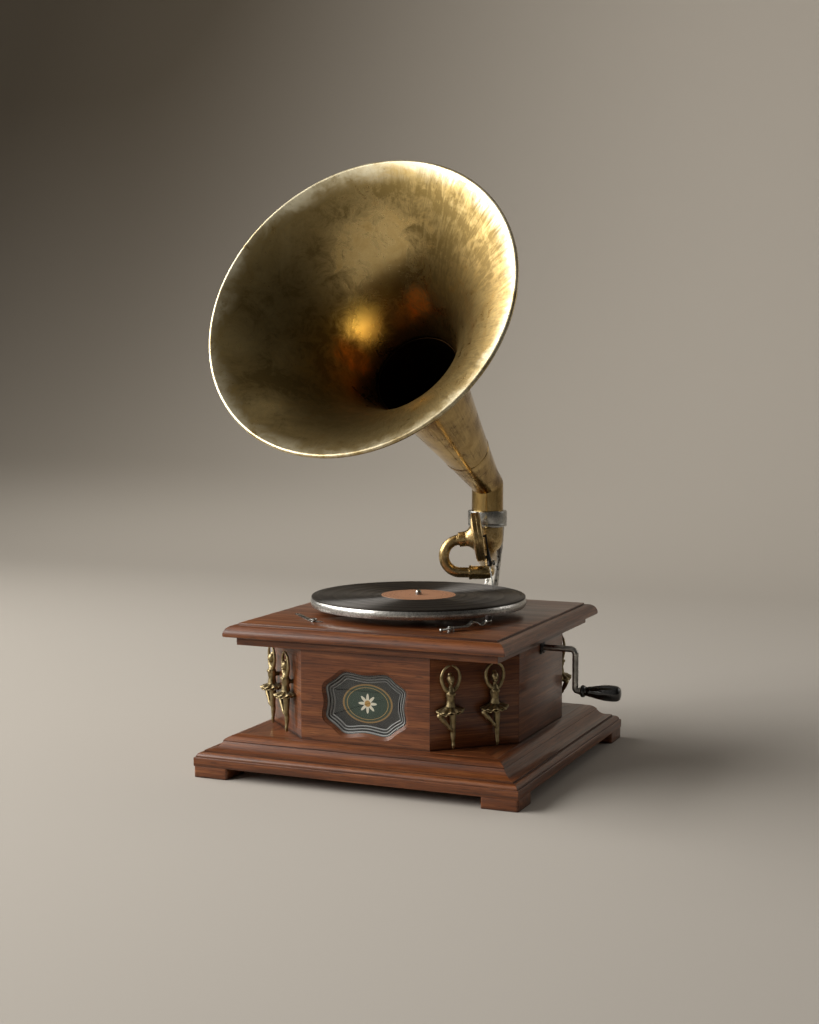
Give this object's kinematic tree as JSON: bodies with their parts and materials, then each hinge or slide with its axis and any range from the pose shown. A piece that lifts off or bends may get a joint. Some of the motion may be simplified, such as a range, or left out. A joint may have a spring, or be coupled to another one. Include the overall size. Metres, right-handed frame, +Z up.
{
  "type": "horn gramophone",
  "caption": "Table gramophone with a moulded wooden case, spring motor, turntable, swinging tone arm with soundbox, and a flared brass horn on a rear bracket.",
  "frame": {"origin": "middle of the plinth's footprint on the floor", "axes": "+Z up, front towards -Y, winding handle on +X"},
  "size_m": [0.443, 0.4801, 0.6889],
  "materials": {
    "walnut": "satin varnished walnut",
    "inner_wood": "plain oiled wood",
    "glass": "thick stepped glass",
    "card": "printed card",
    "figure_brass": "antique brass casting",
    "cast_silver": "pitted cast silver-grey metal",
    "hammered_iron": "hammered silver-grey casting",
    "steel": "plain steel",
    "nickel": "polished nickel",
    "black_iron": "blackened iron",
    "black_grip": "black lacquered turned grip",
    "rubber": "black rubber",
    "felt": "dark felt",
    "shellac": "grooved black shellac",
    "paper": "printed orange paper",
    "gear_brass": "cut brass",
    "horn_brass": "aged spun brass with dark patina",
    "arm_brass": "polished antique brass",
    "mica": "mica sheet",
    "leather": "brown leather"
  },
  "bodies": {
    "case": {"bracket_feet": "walnut", "plinth_rails": "walnut", "bottom_board": "inner_wood", "front_panel": "walnut", "back_panel": "walnut", "side_panels": "walnut", "corner_panels": "walnut", "window_glass": "glass", "window_card": "card", "window_backing": "inner_wood", "frieze_rails": "walnut", "top_board": "walnut", "dancers_front": "figure_brass", "dancers_back": "figure_brass", "horn_bracket": "cast_silver", "bracket_screws": "steel", "crank_escutcheon": "black_iron", "speed_plate": "nickel", "motor_plate": "steel", "motor_bolts": "steel", "motor_washers": "rubber", "motor_pillars": "steel", "motor_lower_plate": "steel", "clutch_spring": "steel"},
    "turntable": {"platter": "hammered_iron", "platter_mat": "felt", "record": "shellac", "record_label": "paper", "spindle": "steel", "governor_wheel": "gear_brass"},
    "barrel": {"spring_barrel": "gear_brass", "barrel_cover": "gear_brass", "mainspring": "steel"},
    "arbor": {"winding_arbor": "steel", "winding_wheel": "gear_brass"},
    "intermediate": {"intermediate_pinion": "steel", "intermediate_wheel": "gear_brass"},
    "governor": {"governor_shaft": "steel", "governor_weights": "steel", "governor_springs": "steel", "governor_disc": "gear_brass"},
    "governor_lever": {"governor_arm": "steel"},
    "crank": {"crank_rod": "steel", "winding_pinion": "gear_brass"},
    "grip": {"crank_grip": "black_grip"},
    "brake": {"brake_lever": "nickel", "brake_pad": "leather"},
    "speed_regulator": {"speed_knob": "nickel"},
    "horn": {"horn_elbow": "horn_brass", "horn_neck": "horn_brass", "horn_bell": "horn_brass"},
    "arm": {"tone_arm": "arm_brass"},
    "reproducer": {"gooseneck": "arm_brass", "soundbox_body": "arm_brass", "soundbox_face": "arm_brass", "soundbox_gaskets": "rubber", "diaphragm": "mica", "stylus_bar": "black_iron", "needle": "nickel", "needle_screw": "nickel"}
  },
  "joints": [
    {"name": "turntable_spin", "type": "hinge", "parent": "case", "child": "turntable", "pos_m": [0, 0, 0.18], "axis": [0, 0, 1], "continuous": true},
    {"name": "barrel_turn", "type": "hinge", "parent": "case", "child": "barrel", "pos_m": [0.062, 0, 0.11], "axis": [0, 0, 1], "continuous": true},
    {"name": "intermediate_turn", "type": "hinge", "parent": "case", "child": "intermediate", "pos_m": [0.02011, 0.03165, 0.12], "axis": [0, 0, 1], "continuous": true},
    {"name": "governor_spin", "type": "hinge", "parent": "case", "child": "governor", "pos_m": [0, -0.021, 0.104], "axis": [1, 0, 0], "continuous": true},
    {"name": "crank_turn", "type": "hinge", "parent": "case", "child": "crank", "pos_m": [0.15, 0, 0.1397], "axis": [1, 0, 0], "continuous": true},
    {"name": "arbor_turn", "type": "hinge", "parent": "case", "child": "arbor", "pos_m": [0.062, 0, 0.13], "axis": [0, 0, 1], "continuous": true},
    {"name": "grip_spin", "type": "hinge", "parent": "crank", "child": "grip", "pos_m": [0.2, 0, 0.0927], "axis": [1, 0, 0], "continuous": true},
    {"name": "brake_swing", "type": "hinge", "parent": "case", "child": "brake", "pos_m": [0.088, -0.119, 0.17], "axis": [0, 0, 1], "range_deg": [0, 11.9]},
    {"name": "speed_turn", "type": "hinge", "parent": "case", "child": "speed_regulator", "pos_m": [-0.08, -0.114, 0.17], "axis": [0, 0, 1], "range_deg": [-25, 25]},
    {"name": "governor_lever_turn", "type": "hinge", "parent": "case", "child": "governor_lever", "pos_m": [-0.078, -0.048, 0.104], "axis": [0, 0, 1], "range_deg": [-1.5, 1.5]},
    {"name": "horn_swivel", "type": "hinge", "parent": "case", "child": "horn", "pos_m": [0, 0.23, 0.26], "axis": [0, 0, 1], "continuous": true},
    {"name": "tone_arm_swing", "type": "hinge", "parent": "case", "child": "arm", "pos_m": [0, 0.23, 0.25], "axis": [0, 0, 1], "range_deg": [-20, 25]},
    {"name": "gooseneck_flip", "type": "hinge", "parent": "arm", "child": "reproducer", "pos_m": [0.05859, 0.07575, 0.212], "axis": [-0.9348, -0.3551, 0], "range_deg": [0, 30]}
  ],
  "couplings": [
    {"joint": "barrel_turn", "follows": "turntable_spin", "ratio": 0.041667},
    {"joint": "intermediate_turn", "follows": "turntable_spin", "ratio": -0.25},
    {"joint": "governor_spin", "follows": "turntable_spin", "ratio": -10},
    {"joint": "arbor_turn", "follows": "crank_turn", "ratio": 0.5},
    {"joint": "governor_lever_turn", "follows": "speed_turn", "ratio": -0.0476}
  ]
}
